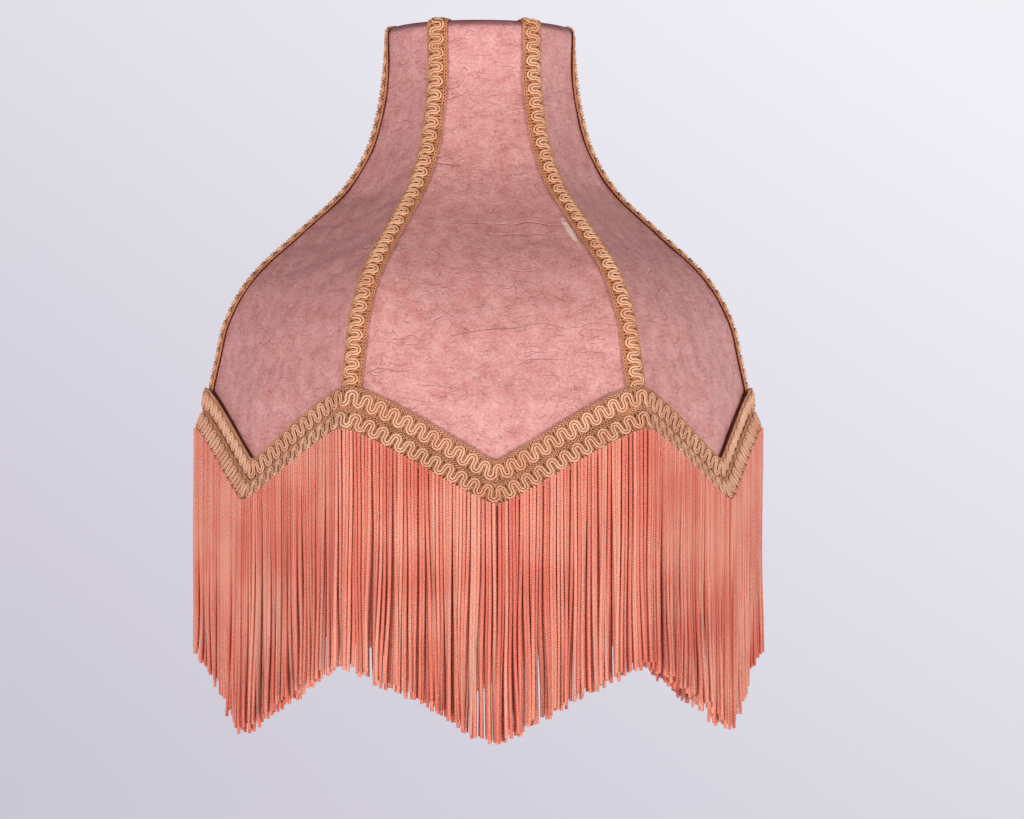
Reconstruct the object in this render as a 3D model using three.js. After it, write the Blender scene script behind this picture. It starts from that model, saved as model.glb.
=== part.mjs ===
// Six-sided bell lamp shade with a zigzag hem and a cord fringe. Millimetres, +Z up.
// The origin is the centre of the fitter ring, the washer that sits on the lampholder.
// Panel 1 faces -Y; the others follow anticlockwise, seen from above.
import * as THREE from 'three';

// Whole shade. Depths are measured down from its top edge.
const SIDES = 6;
const SECTOR = (2 * Math.PI) / SIDES;
const HALF_SECTOR = SECTOR / 2;
const FRONT = -Math.PI / 2;
const TOP_Z = 32;
const BELL_STEP = 29.11;
const BELL_RADII = [61.2, 63.3, 67.6, 76.3, 94.3, 125.2, 156.2, 173.6, 180.8, 186.3];
const NECK_ROUND_END = 45;
const HEM_SHAPE_START = 120;

// Zigzag hem: high at the ribs, low at the middle of each panel, straight between them.
const HEM_PEAK_DEPTH = BELL_STEP * (BELL_RADII.length - 1);
const HEM_POINT_DEPTH = 318;
const HEM_RIB_RADIUS = BELL_RADII.at(-1);
const HEM_POINT_RADIUS = 177;
const HEM_FLARE = 0.4;

// Wire frame. GAP keeps welded or glued neighbours from sharing a face.
const GAP = 0.3;
const WIRE_RADIUS = 1.6;
const WIRE_FACETS = 6;
const TOP_RING_DEPTH = 2.2;
const RING_STEPS = 24;
const FITTER_HOLE_RADIUS = 21;
const FITTER_RADIUS = 27;
const FITTER_THICKNESS = 2.5;
const FITTER_STEPS = 32;
const ARM_COUNT = 3;
const ARM_STEPS = 8;

// Route of a fitter arm on its way out and up: radius, and height above the middle of the fitter ring.
const ARM_ROUTE = [[27.6, 0], [40.8, 1], [50, 8], [55.5, 20]];

// Layers, outward from the centre line of the frame wire.
const LINING = { inner: 0.3, outer: 0.9 };
const PANEL = { inner: 2.1, outer: 3.1 };
const TOP_GIMP = { inner: 4, outer: 6.2 };
const HEADING = { inner: 3.6, outer: 4.6 };
const LOWER_GIMP = { inner: 5, outer: 8.6 };
const FRINGE = { inner: 11, outer: 15 };

// Every layer shares these rows and columns, so that their facets stay parallel.
const ROWS = 15;
const COLUMNS = 4;
const BAND_STEPS = 24;

// Widths and edges of the soft layers.
const SEAM_HALF_GAP = 0.2;
const LINING_SIDE_GAP = 3;
const LINING_TOP = 0.025;
const LINING_BOTTOM = 0.975;
const GIMP_WIDTH = 15;
const BAND_HALF_HEIGHT = 16.6;
const HEADING_HEIGHT = 14;
const BUTT_JOIN = 1.5;
const FRINGE_TOP = 19.3;
const FRINGE_END_AT_RIBS = 169;
const FRINGE_END_AT_POINTS = 164;
const FRINGE_SIDE_GAP = 1.5;

const FINISHES = {
  satin: { color: 0xc98a86, roughness: 0.55, metalness: 0 },
  lining: { color: 0xe9dcc4, roughness: 0.9, metalness: 0 },
  gimp: { color: 0xc2926f, roughness: 0.7, metalness: 0 },
  fringe: { color: 0xdc7c6c, roughness: 0.6, metalness: 0 },
  wire: { color: 0xe4dccb, roughness: 0.45, metalness: 0.1 },
};

const shade = new THREE.Group();

function addPiece(name, finish, geometry) {
  const piece = new THREE.Mesh(geometry, new THREE.MeshStandardMaterial(FINISHES[finish]));
  piece.name = name;
  shade.add(piece);
}

// Moves each vertex of a closed geometry to the point that place() gives for it.
function bend(geometry, place) {
  const position = geometry.attributes.position;
  const vertex = new THREE.Vector3();
  for (let i = 0; i < position.count; i += 1) {
    vertex.fromBufferAttribute(position, i);
    const point = place(vertex.x, vertex.y, vertex.z);
    position.setXYZ(i, point.x, point.y, point.z);
  }
  geometry.computeVertexNormals();
  return geometry;
}

// Radius of the rib wire at a depth: a smooth curve through the evenly spaced bell radii.
function bellRadius(depth) {
  const last = BELL_RADII.length - 1;
  const place = THREE.MathUtils.clamp(depth / BELL_STEP, 0, last);
  const row = Math.min(Math.floor(place), last - 1);
  const t = place - row;
  const at = (i) => BELL_RADII[THREE.MathUtils.clamp(i, 0, last)];
  const [before, from, to, after] = [at(row - 1), at(row), at(row + 1), at(row + 2)];
  const bendIn = (to - before) / 2;
  const bendOut = (after - from) / 2;
  return from + t * bendIn + t * t * (3 * (to - from) - 2 * bendIn - bendOut)
    + t * t * t * (2 * (from - to) + bendIn + bendOut);
}

// Angle from the middle of the nearest panel, always positive: 0 at the middle, HALF_SECTOR at a rib.
function fromPanelMiddle(angle) {
  const turns = (angle - FRONT) / SECTOR;
  return Math.abs(turns - Math.round(turns)) * SECTOR;
}

// Radius, at one angle, of the straight line between two points given by radius and angle.
function straightBetween(radiusA, angleA, radiusB, angleB, angle) {
  return (radiusA * radiusB * Math.sin(angleB - angleA))
    / (radiusA * Math.sin(angle - angleA) + radiusB * Math.sin(angleB - angle));
}

function hemRadius(angle) {
  return straightBetween(HEM_POINT_RADIUS, 0, HEM_RIB_RADIUS, HALF_SECTOR, fromPanelMiddle(angle));
}

function hemDepth(angle) {
  const rise = Math.sin(fromPanelMiddle(angle)) / Math.sin(HALF_SECTOR);
  return THREE.MathUtils.lerp(HEM_POINT_DEPTH, HEM_PEAK_DEPTH, rise);
}

// Radius of the frame surface. It is round at the top ring, flat between the ribs through the
// waist, and follows the twelve straight sides of the hem wire at the bottom.
function surfaceRadius(angle, depth) {
  const bell = bellRadius(depth);
  const across = fromPanelMiddle(angle);
  const flat = (bell * Math.cos(HALF_SECTOR)) / Math.cos(across);
  const hem = (bell * hemRadius(angle)) / HEM_RIB_RADIUS;
  const neck = 1 - THREE.MathUtils.smoothstep(depth, 0, NECK_ROUND_END);
  const skirt = THREE.MathUtils.smoothstep(depth, HEM_SHAPE_START, hemDepth(angle));
  return neck * bell + skirt * hem + (1 - neck - skirt) * flat;
}

function polar(radius, angle, depth) {
  return new THREE.Vector3(radius * Math.cos(angle), radius * Math.sin(angle), TOP_Z - depth);
}

// A point at a distance out from the frame surface, square to its slope.
function offSurface(angle, depth, out) {
  const slope = (surfaceRadius(angle, depth + 1) - surfaceRadius(angle, depth - 1)) / 2;
  const steep = Math.hypot(1, slope);
  return polar(surfaceRadius(angle, depth) + out / steep, angle, depth - (out * slope) / steep);
}

// A point in the hem band: down is measured from the hem wire, and below it the band flares out.
function offHem(angle, down, out) {
  if (down <= 0) return offSurface(angle, hemDepth(angle) + down, out);
  return polar(hemRadius(angle) + HEM_FLARE * down + out, angle, hemDepth(angle) + down);
}

// A box's back face is mirrored, so its quads are split along the other diagonal. Turning them makes
// the facing sides of two stacked layers facet alike, and keeps the gap between them even.
function matchBackToFront(box) {
  const [, , , , , back] = box.groups;
  for (let i = back.start; i < back.start + back.count; i += 6) {
    const [a, b, d, , c] = box.index.array.slice(i, i + 6);
    box.index.array.set([a, b, c, a, c, d], i);
  }
}

// A unit box cut into rows and columns: u and v run 0 to 1 across and down, out from inner to outer.
function bentSheet(columns, rows, layer, place) {
  const box = new THREE.BoxGeometry(1, 1, 1, columns, rows, 1);
  matchBackToFront(box);
  return bend(box, (x, y, z) => {
    const out = THREE.MathUtils.lerp(layer.inner, layer.outer, z + 0.5);
    return place(x + 0.5, 0.5 - y, out);
  });
}

// A panel or lining, from one rib to the next less sideGap, between two shares of the depth.
function panelSheet(middle, layer, sideGap, top, bottom) {
  return bentSheet(COLUMNS, ROWS, layer, (u, v, out) => {
    const share = THREE.MathUtils.clamp(v, top, bottom);
    const edge = middle + (u - 0.5) * SECTOR;
    const angle = edge + ((1 - 2 * u) * sideGap) / bellRadius(share * HEM_PEAK_DEPTH);
    return offSurface(angle, share * hemDepth(angle), out);
  });
}

function ribGimp(ribAngle) {
  const end = 1 - (BAND_HALF_HEIGHT + 2 * GAP) / HEM_PEAK_DEPTH;
  return bentSheet(2, ROWS, TOP_GIMP, (u, v, out) => {
    const share = Math.min(v, end);
    const turn = ((u - 0.5) * GIMP_WIDTH) / bellRadius(share * HEM_PEAK_DEPTH);
    const angle = ribAngle + turn;
    return offSurface(angle, share * hemDepth(angle), out);
  });
}

function ribWire(angle) {
  const start = (TOP_RING_DEPTH + WIRE_RADIUS + GAP) / HEM_PEAK_DEPTH;
  const end = 1 - (2 * WIRE_RADIUS) / HEM_PEAK_DEPTH;
  const rod = new THREE.CylinderGeometry(WIRE_RADIUS, WIRE_RADIUS, 1, WIRE_FACETS, ROWS);
  return bend(rod, (x, y, z) => {
    const depth = THREE.MathUtils.clamp(0.5 - y, start, end) * HEM_PEAK_DEPTH;
    return offSurface(angle + x / bellRadius(depth), depth, z);
  });
}

// One length of tape all round the hem, with a butt join at the back rib.
function hemTape(top, bottom, layer) {
  const joinAngle = BUTT_JOIN / HEM_RIB_RADIUS;
  return bentSheet(BAND_STEPS, 1, layer, (u, v, out) => {
    const turn = THREE.MathUtils.clamp(u * 2 * Math.PI, joinAngle / 2, 2 * Math.PI - joinAngle / 2);
    const angle = FRONT + Math.PI + HALF_SECTOR + turn;
    return offHem(angle, THREE.MathUtils.lerp(top, bottom, v), out);
  });
}

function hemWire() {
  const ring = new THREE.TorusGeometry(HEM_RIB_RADIUS, WIRE_RADIUS, WIRE_FACETS, RING_STEPS);
  return bend(ring, (x, y, z) => {
    const angle = Math.atan2(y, x);
    const out = Math.hypot(x, y) - HEM_RIB_RADIUS;
    return polar(hemRadius(angle) + out, angle, hemDepth(angle) - z);
  });
}

function fitterRing() {
  const half = FITTER_THICKNESS / 2;
  const section = [
    new THREE.Vector2(FITTER_HOLE_RADIUS, -half),
    new THREE.Vector2(FITTER_RADIUS, -half),
    new THREE.Vector2(FITTER_RADIUS, half),
    new THREE.Vector2(FITTER_HOLE_RADIUS, half),
    new THREE.Vector2(FITTER_HOLE_RADIUS, -half),
  ];
  return new THREE.LatheGeometry(section, FITTER_STEPS).rotateX(Math.PI / 2);
}

// An arm leaves the fitter ring level, bends upward and meets the top ring from inside.
function fitterArm(angle) {
  const topRadius = bellRadius(TOP_RING_DEPTH) - 2 * WIRE_RADIUS - 2 * GAP;
  const route = new THREE.CatmullRomCurve3([
    ...ARM_ROUTE.map(([radius, rise]) => polar(radius, angle, TOP_Z - rise)),
    polar(topRadius, angle, TOP_RING_DEPTH + WIRE_RADIUS / 2),
  ]);
  const section = new THREE.Shape().absarc(0, 0, WIRE_RADIUS, 0, 2 * Math.PI);
  return new THREE.ExtrudeGeometry(section, {
    steps: ARM_STEPS,
    extrudePath: route,
    curveSegments: WIRE_FACETS,
  });
}

// The cords under one straight side of the zigzag, hanging plumb from the band's lower edge.
function fringeSection(startAngle) {
  return bentSheet(1, 1, FRINGE, (u, v, out) => {
    const angle = startAngle + u * HALF_SECTOR;
    const atRib = fromPanelMiddle(angle) / HALF_SECTOR;
    const end = THREE.MathUtils.lerp(FRINGE_END_AT_POINTS, FRINGE_END_AT_RIBS, atRib);
    const radius = hemRadius(angle) + out;
    const inset = (1 - 2 * u) * (FRINGE_SIDE_GAP / radius);
    return polar(radius, angle + inset, hemDepth(angle) + THREE.MathUtils.lerp(FRINGE_TOP, end, v));
  });
}

// Wire frame.
const topRing = new THREE.TorusGeometry(bellRadius(TOP_RING_DEPTH), WIRE_RADIUS, WIRE_FACETS, RING_STEPS);
addPiece('top_ring', 'wire', topRing.translate(0, 0, TOP_Z - TOP_RING_DEPTH));
addPiece('fitter_ring', 'wire', fitterRing());
for (let arm = 0; arm < ARM_COUNT; arm += 1) {
  addPiece(`fitter_arm_${arm + 1}`, 'wire', fitterArm(FRONT + HALF_SECTOR + 2 * arm * SECTOR));
}
addPiece('hem_wire', 'wire', hemWire());

// Each side of the bell: the rib on its anticlockwise edge, panel, lining and fringe.
for (let side = 1; side <= SIDES; side += 1) {
  const middle = FRONT + (side - 1) * SECTOR;
  const ribAngle = middle + HALF_SECTOR;
  addPiece(`rib_${side}`, 'wire', ribWire(ribAngle));
  addPiece(`panel_${side}`, 'satin', panelSheet(middle, PANEL, SEAM_HALF_GAP, 0, 1));
  addPiece(`lining_${side}`, 'lining', panelSheet(middle, LINING, LINING_SIDE_GAP, LINING_TOP, LINING_BOTTOM));
  addPiece(`rib_gimp_${side}`, 'gimp', ribGimp(ribAngle));
  addPiece(`fringe_${side}_left`, 'fringe', fringeSection(middle - HALF_SECTOR));
  addPiece(`fringe_${side}_right`, 'fringe', fringeSection(middle));
}

// Hem trim.
addPiece('hem_gimp_upper', 'gimp', hemTape(-BAND_HALF_HEIGHT, -GAP, TOP_GIMP));
addPiece('hem_gimp_lower', 'gimp', hemTape(GAP, BAND_HALF_HEIGHT, LOWER_GIMP));
addPiece('fringe_heading', 'fringe', hemTape(2 * GAP, HEADING_HEIGHT, HEADING));

export default shade;
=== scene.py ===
# %% [markdown]
# # A fringed bell lamp shade
# The CAD model gives the frame: where every wire, panel and tape of the shade lies, and which of them
# swing. This lesson dresses that frame. It makes six stretched satin panels, their cream backing, the
# scroll gimp glued over the ribs and hem, and about fourteen hundred hanging cords of fringe.
#
# The first step loads the CAD model. Its pieces stay where they are, and everything made here is placed
# by them.

# %% Load the frame
import math

import bpy
import numpy as np
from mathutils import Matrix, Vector, noise


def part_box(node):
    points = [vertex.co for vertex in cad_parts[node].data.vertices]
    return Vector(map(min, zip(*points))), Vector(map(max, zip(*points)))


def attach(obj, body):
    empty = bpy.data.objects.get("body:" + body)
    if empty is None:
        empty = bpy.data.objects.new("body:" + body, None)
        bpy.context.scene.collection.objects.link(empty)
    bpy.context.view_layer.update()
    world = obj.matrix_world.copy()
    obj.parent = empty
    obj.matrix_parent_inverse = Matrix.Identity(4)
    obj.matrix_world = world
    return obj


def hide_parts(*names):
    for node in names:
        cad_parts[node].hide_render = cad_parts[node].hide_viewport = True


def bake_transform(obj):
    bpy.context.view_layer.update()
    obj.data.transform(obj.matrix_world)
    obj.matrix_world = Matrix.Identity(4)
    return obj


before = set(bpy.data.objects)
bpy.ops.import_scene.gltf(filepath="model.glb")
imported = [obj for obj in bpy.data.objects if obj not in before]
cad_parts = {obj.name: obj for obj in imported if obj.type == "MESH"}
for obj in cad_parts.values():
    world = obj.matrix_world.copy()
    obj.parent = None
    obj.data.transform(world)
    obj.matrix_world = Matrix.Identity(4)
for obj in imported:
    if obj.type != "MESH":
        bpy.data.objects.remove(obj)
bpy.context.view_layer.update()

MM = 0.001

# %% [markdown]
# ## The camera
# A long lens from well back keeps the shade's sides nearly parallel, as in a catalogue picture. The
# camera stands level, a little to the right of the shade's centre line, and the shade is turned a few
# degrees, so that the front panel faces slightly to the right.

# %% Camera
CAMERA_DISTANCE = 2.32
CAMERA_TURN = math.radians(-3.8)
CAMERA_SIDESTEP = 0.0225
CAMERA_DROP = 0.266
CAMERA_LENS = 116.0
SENSOR_WIDTH = 36.0

TOP_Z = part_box("panel_1")[1].z


def make_camera():
    data = bpy.data.cameras.new("studio_camera")
    data.lens = CAMERA_LENS
    data.sensor_width = SENSOR_WIDTH
    camera = bpy.data.objects.new("studio_camera", data)
    bpy.context.scene.collection.objects.link(camera)
    back = Vector((math.sin(CAMERA_TURN), -math.cos(CAMERA_TURN), 0))
    right = Vector((math.cos(CAMERA_TURN), math.sin(CAMERA_TURN), 0))
    camera.location = back * CAMERA_DISTANCE + right * CAMERA_SIDESTEP
    camera.location.z = TOP_Z - CAMERA_DROP
    camera.rotation_euler = (math.pi / 2, 0, CAMERA_TURN)
    bpy.context.scene.camera = camera
    return camera


print("camera at", make_camera().location)

# %% [markdown]
# ## The bell's shape
# The shade has six ribs. Each is a wire bent to the same S-curve, so one list of radii, taken every
# 29 mm down the rib, describes the whole bell. The cloth is round where it leaves the top ring, flat
# between the ribs through the waist, and follows the twelve straight sides of the zigzag hem wire at
# the bottom. A few formulas that mix those three sections place every soft piece.

# %% Bell formulas
SIDES = 6
SECTOR = 2 * math.pi / SIDES
HALF_SECTOR = SECTOR / 2
FRONT = -math.pi / 2
BELL_STEP = 29.11 * MM
BELL_RADII = np.array([61.2, 63.3, 67.6, 76.3, 94.3, 125.2, 156.2, 173.6, 180.8, 186.3]) * MM
NECK_ROUND_END = 45 * MM
HEM_SHAPE_START = 120 * MM
WIRE_RADIUS = 1.6 * MM
HEM_LOW, HEM_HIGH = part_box("hem_wire")
HEM_PEAK_DEPTH = TOP_Z - HEM_HIGH.z + WIRE_RADIUS
HEM_POINT_DEPTH = TOP_Z - HEM_LOW.z - WIRE_RADIUS
HEM_RIB_RADIUS = BELL_RADII[-1]
HEM_POINT_RADIUS = -HEM_LOW.y - WIRE_RADIUS * math.cos(math.pi / SIDES)
HEM_FLARE = 0.4
CORNER_SOFTNESS = 0.07


def smooth_step(value, low, high):
    share = np.clip((value - low) / (high - low), 0, 1)
    return share * share * (3 - 2 * share)


def bell_radius(depth):
    """Radius of the rib wire at a depth below the top edge: a smooth curve through BELL_RADII."""
    last = len(BELL_RADII) - 1
    place = np.clip(np.asarray(depth) / BELL_STEP, 0, last)
    row = np.minimum(place.astype(int), last - 1)
    t = place - row
    before, start, end, after = (BELL_RADII[np.clip(row + i, 0, last)] for i in (-1, 0, 1, 2))
    leave, arrive = (end - before) / 2, (after - start) / 2
    cubic = 2 * (start - end) + leave + arrive
    return start + t * leave + t * t * (3 * (end - start) - 2 * leave - arrive) + t**3 * cubic


def from_panel_middle(angle):
    """Angle from the middle of the nearest panel: 0 at its middle, HALF_SECTOR at a rib."""
    turns = (np.asarray(angle) - FRONT) / SECTOR
    return np.abs(turns - np.round(turns)) * SECTOR


def hem_radius(angle):
    across = from_panel_middle(angle)
    return (HEM_POINT_RADIUS * HEM_RIB_RADIUS * math.sin(HALF_SECTOR)
            / (HEM_POINT_RADIUS * np.sin(across) + HEM_RIB_RADIUS * np.sin(HALF_SECTOR - across)))


def hem_depth(angle):
    rise = np.sin(from_panel_middle(angle)) / math.sin(HALF_SECTOR)
    return HEM_POINT_DEPTH + (HEM_PEAK_DEPTH - HEM_POINT_DEPTH) * rise


def soft_hem_depth(angle):
    """The same zigzag with rounded corners, as a stiff tape turns them."""
    rise = np.sin(from_panel_middle(angle)) / math.sin(HALF_SECTOR)
    near = np.minimum(rise, 1 - rise)
    soft = CORNER_SOFTNESS
    eased = np.sqrt(near**2 + soft**2) * 0.5 / math.sqrt(0.25 + soft**2)
    rise = np.where(rise < 0.5, eased, 1 - eased)
    return HEM_POINT_DEPTH + (HEM_PEAK_DEPTH - HEM_POINT_DEPTH) * rise


def surface_radius(angle, depth):
    bell = bell_radius(depth)
    flat = bell * math.cos(HALF_SECTOR) / np.cos(from_panel_middle(angle))
    hem = bell * hem_radius(angle) / HEM_RIB_RADIUS
    neck = 1 - smooth_step(depth, 0, NECK_ROUND_END)
    skirt = smooth_step(depth, HEM_SHAPE_START, hem_depth(angle))
    return neck * bell + skirt * hem + (1 - neck - skirt) * flat


def polar(radius, angle, depth):
    radius, angle, depth = np.broadcast_arrays(radius, angle, depth)
    return np.stack([radius * np.cos(angle), radius * np.sin(angle), TOP_Z - depth], axis=-1)


def off_surface(angle, depth, out):
    """Points at a distance out from the frame surface, square to its slope."""
    step = 1 * MM
    slope = (surface_radius(angle, depth + step) - surface_radius(angle, depth - step)) / (2 * step)
    steep = np.hypot(1, slope)
    return polar(surface_radius(angle, depth) + out / steep, angle, depth - out * slope / steep)


def off_hem(angle, down, out):
    """Points in the hem band: down is measured from the hem wire, and below it the band flares out."""
    depth = soft_hem_depth(angle) + down
    above = off_surface(angle, np.minimum(depth, hem_depth(angle)), out)
    below = polar(hem_radius(angle) + HEM_FLARE * np.maximum(down, 0) + out, angle, depth)
    blend = smooth_step(down, -4 * MM, 4 * MM)[..., None]
    return above * (1 - blend) + below * blend


print(f"bell: neck {BELL_RADII[0] / MM:.0f} mm, hem {HEM_RIB_RADIUS / MM:.0f} mm, "
      f"hem depth {HEM_PEAK_DEPTH / MM:.0f} to {HEM_POINT_DEPTH / MM:.0f} mm")

# %% [markdown]
# ## Helpers
# A colour picker gives sRGB values, and Blender's shaders want linear ones, so one function turns a hex
# code into a linear colour. One more adds a node, with its settings and links, to any node tree.

# %% Colour and node helpers


def hex_colour(code):
    """Linear RGBA of an sRGB hex code."""
    channels = [int(code[i:i + 2], 16) / 255 for i in (1, 3, 5)]
    linear = [c / 12.92 if c <= 0.04045 else ((c + 0.055) / 1.055) ** 2.4 for c in channels]
    return (*linear, 1.0)


def add_node(tree, kind, inputs=None, **settings):
    """Adds a node. An input given a node or a socket is linked to it, and any other value is set."""
    node = tree.nodes.new(kind)
    for name, value in settings.items():
        setattr(node, name, value)
    for key, value in (inputs or {}).items():
        if isinstance(value, bpy.types.Node):
            value = value.outputs[0]
        if isinstance(value, bpy.types.NodeSocket):
            tree.links.new(value, node.inputs[key])
        else:
            node.inputs[key].default_value = value
    return node


def new_material(name):
    """A material with a Principled shader, and its node tree."""
    material = bpy.data.materials.new(name)
    material.use_nodes = True
    tree = material.node_tree
    tree.nodes.clear()
    shader = add_node(tree, "ShaderNodeBsdfPrincipled")
    add_node(tree, "ShaderNodeOutputMaterial", {"Surface": shader})
    return material, tree, shader


print("pure rose in linear light:", [round(c, 3) for c in hex_colour("#C98A86")[:3]])

# %% [markdown]
# ## Satin
# The panels are a thin satin laminate, dusty rose and creased all over. A crease is drawn where a slow
# noise crosses its middle value, which gives thin lines that wander and meet as creases do, and a second
# noise breaks them up. The same creases dent the surface and darken its colour as painted shade. "wear"
# bares the backing at one worn spot, and a painted shade darkens the fold over the top ring.

# %% Satin material
SATIN_MID = hex_colour("#C57972")
SATIN_LIGHT = hex_colour("#E6ACA6")
# The crease colour is a painted shade.
SATIN_CREASE_SHADE = hex_colour("#9C514C")
BACKING_CREAM = hex_colour("#EBD5BC")
# The fold colour is a painted shade on the satin turned over the top ring.
FOLD_SHADE_COLOUR = hex_colour("#6E3C46")
CREASE_SETS = ((26 * MM, 8, 3.1), (17 * MM, -42, 7.7), (9 * MM, 58, 11.3), (5 * MM, -15, 17.9),
               (4 * MM, 75, 23.3))
CREASE_WIDTH = 0.013
MOTTLE_SIZE = 13 * MM
NAP_SIZE = 2 * MM
FRAY_SIZE = 2.6 * MM


def crease_lines(tree, place, size, turn, seed):
    """Thin wandering lines, 1 on a crease and 0 off it, where a noise crosses its middle value."""
    laid = add_node(tree, "ShaderNodeMapping", {"Vector": place, "Location": (seed, seed, seed),
                                                "Rotation": (0, 0, math.radians(turn)),
                                                "Scale": (0.4 / size, 1 / size, 1 / size)})
    waves = add_node(tree, "ShaderNodeTexNoise", {"Vector": laid, "Scale": 1.0, "Detail": 1.6,
                                                  "Roughness": 0.55, "Distortion": 0.15})
    crossing = add_node(tree, "ShaderNodeMath", {0: waves.outputs["Fac"], 1: 0.5}, operation="SUBTRACT")
    distance = add_node(tree, "ShaderNodeMath", {0: crossing}, operation="ABSOLUTE")
    line = add_node(tree, "ShaderNodeMapRange", {"Value": distance, "From Max": CREASE_WIDTH,
                                                 "To Min": 1.0, "To Max": 0.0},
                    interpolation_type="SMOOTHSTEP")
    patches = add_node(tree, "ShaderNodeTexNoise", {"Vector": laid, "Scale": 0.9, "Detail": 2.0})
    mask = add_node(tree, "ShaderNodeMapRange", {"Value": patches.outputs["Fac"], "From Min": 0.47,
                                                 "From Max": 0.72})
    return add_node(tree, "ShaderNodeMath", {0: line, 1: mask}, operation="MULTIPLY")


def satin_material():
    material, tree, shader = new_material("creased_satin_laminate")
    cloth = add_node(tree, "ShaderNodeUVMap", uv_map="cloth").outputs[0]
    creases = None
    for size, turn, seed in CREASE_SETS:
        lines = crease_lines(tree, cloth, size, turn, seed)
        creases = lines if creases is None else add_node(tree, "ShaderNodeMath", {0: creases, 1: lines},
                                                         operation="MAXIMUM")
    noises = {}
    for name, size, detail, roughness in (("mottle", MOTTLE_SIZE, 6.0, 0.7), ("nap", NAP_SIZE, 3.0, 0.7),
                                          ("threads", FRAY_SIZE, 3.0, 0.8)):
        noises[name] = add_node(tree, "ShaderNodeTexNoise", {"Vector": cloth, "Scale": 1 / size,
                                                             "Detail": detail, "Roughness": roughness})
    mottle, nap, threads = (noise_node.outputs["Fac"] for noise_node in noises.values())
    fleck = add_node(tree, "ShaderNodeMath", {0: nap, 1: 0.8, 2: mottle}, operation="MULTIPLY_ADD")
    depth = add_node(tree, "ShaderNodeMapRange", {"Value": fleck, "From Min": 0.66, "From Max": 1.12})
    # The creases also darken the colour: a painted shade along each crease.
    crease_shade = add_node(tree, "ShaderNodeMath", {0: creases, 1: 0.2}, operation="MULTIPLY")
    wear = add_node(tree, "ShaderNodeAttribute", attribute_name="wear").outputs["Fac"]
    torn = add_node(tree, "ShaderNodeMath", {0: wear, 1: threads}, operation="MULTIPLY")
    bare = add_node(tree, "ShaderNodeMapRange", {"Value": torn, "From Min": 0.27, "From Max": 0.36})
    # A painted shade on the fold over the top ring.
    fold_shade = add_node(tree, "ShaderNodeAttribute", attribute_name="fold_shade").outputs["Fac"]
    colour = SATIN_MID
    # The crease and fold colours are painted shade; the mottle and the bared backing are the cloth's own.
    for amount, other in ((depth, SATIN_LIGHT), (crease_shade, SATIN_CREASE_SHADE), (bare, BACKING_CREAM),
                          (fold_shade, FOLD_SHADE_COLOUR)):
        mix = add_node(tree, "ShaderNodeMix", {"Factor": amount, 6: colour, 7: other}, data_type="RGBA")
        colour = mix.outputs[2]
    tree.links.new(colour, shader.inputs["Base Color"])
    sunk = add_node(tree, "ShaderNodeMath", {0: creases, 1: -0.6, 2: mottle}, operation="MULTIPLY_ADD")
    height = add_node(tree, "ShaderNodeMath", {0: nap, 1: 0.5, 2: sunk}, operation="MULTIPLY_ADD")
    bump = add_node(tree, "ShaderNodeBump", {"Height": height, "Distance": 1.0 * MM, "Strength": 0.9})
    tree.links.new(bump.outputs[0], shader.inputs["Normal"])
    shader.inputs["Roughness"].default_value = 0.5
    shader.inputs["Specular IOR Level"].default_value = 0.42
    shader.inputs["Sheen Weight"].default_value = 0.1
    shader.inputs["Sheen Roughness"].default_value = 0.4
    shader.inputs["Sheen Tint"].default_value = hex_colour("#E8C4C4")
    return material


SATIN = satin_material()
print("made", SATIN.name)

# %% [markdown]
# ## Cord, cloth and wire finishes
# Gimp and fringe are viscose cord: a bright, slightly hard gloss on strong colour. The fringe's
# chainette is a tiny knitted tube whose stitches ring the cord; real stitches are 0.8 mm apart and are
# drawn at twice that, so that they show. The ring pattern needs the distance along each cord, which the
# node trees below store as the attribute "along".

# %% Cord, lining and wire materials
STITCH_PITCH = 1.7 * MM
TWIST_PITCH = 1.5 * MM
WEAVE_PITCH = 1.4 * MM


def cord_material(name, dark, light, pitch, bump_depth, patch_size, glow):
    """A viscose cord in two tones, ringed by its stitches or its wrapping. Some light may pass into it."""
    material, tree, shader = new_material(name)
    along = add_node(tree, "ShaderNodeAttribute", attribute_name="along").outputs["Fac"]
    place = add_node(tree, "ShaderNodeTexCoord").outputs["Object"]
    phase = add_node(tree, "ShaderNodeMath", {0: along, 1: 2 * math.pi / pitch}, operation="MULTIPLY")
    ring = add_node(tree, "ShaderNodeMath", {0: phase}, operation="SINE")
    patches = add_node(tree, "ShaderNodeTexNoise", {"Vector": place, "Scale": 1 / patch_size, "Detail": 4.0})
    own = add_node(tree, "ShaderNodeAttribute", attribute_name="tone")
    mixed = add_node(tree, "ShaderNodeMath", {0: own.outputs["Fac"], 1: 0.35, 2: patches.outputs["Fac"]},
                     operation="MULTIPLY_ADD")
    shade = add_node(tree, "ShaderNodeMath", {0: ring, 1: 0.06, 2: mixed}, operation="MULTIPLY_ADD")
    tone = add_node(tree, "ShaderNodeMapRange", {"Value": shade, "From Min": 0.3, "From Max": 0.7})
    colour = add_node(tree, "ShaderNodeMix", {"Factor": tone, 6: hex_colour(dark), 7: hex_colour(light)},
                      data_type="RGBA")
    tree.links.new(colour.outputs[2], shader.inputs["Base Color"])
    bump = add_node(tree, "ShaderNodeBump", {"Height": ring, "Distance": bump_depth, "Strength": 0.6})
    tree.links.new(bump.outputs[0], shader.inputs["Normal"])
    shader.inputs["Roughness"].default_value = 0.4
    shader.inputs["Specular IOR Level"].default_value = 0.5
    shader.inputs["Sheen Weight"].default_value = 0.15
    shader.inputs["Subsurface Weight"].default_value = glow
    shader.inputs["Subsurface Radius"].default_value = (1.0, 0.3, 0.2)
    shader.inputs["Subsurface Scale"].default_value = 3 * MM
    return material


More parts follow.
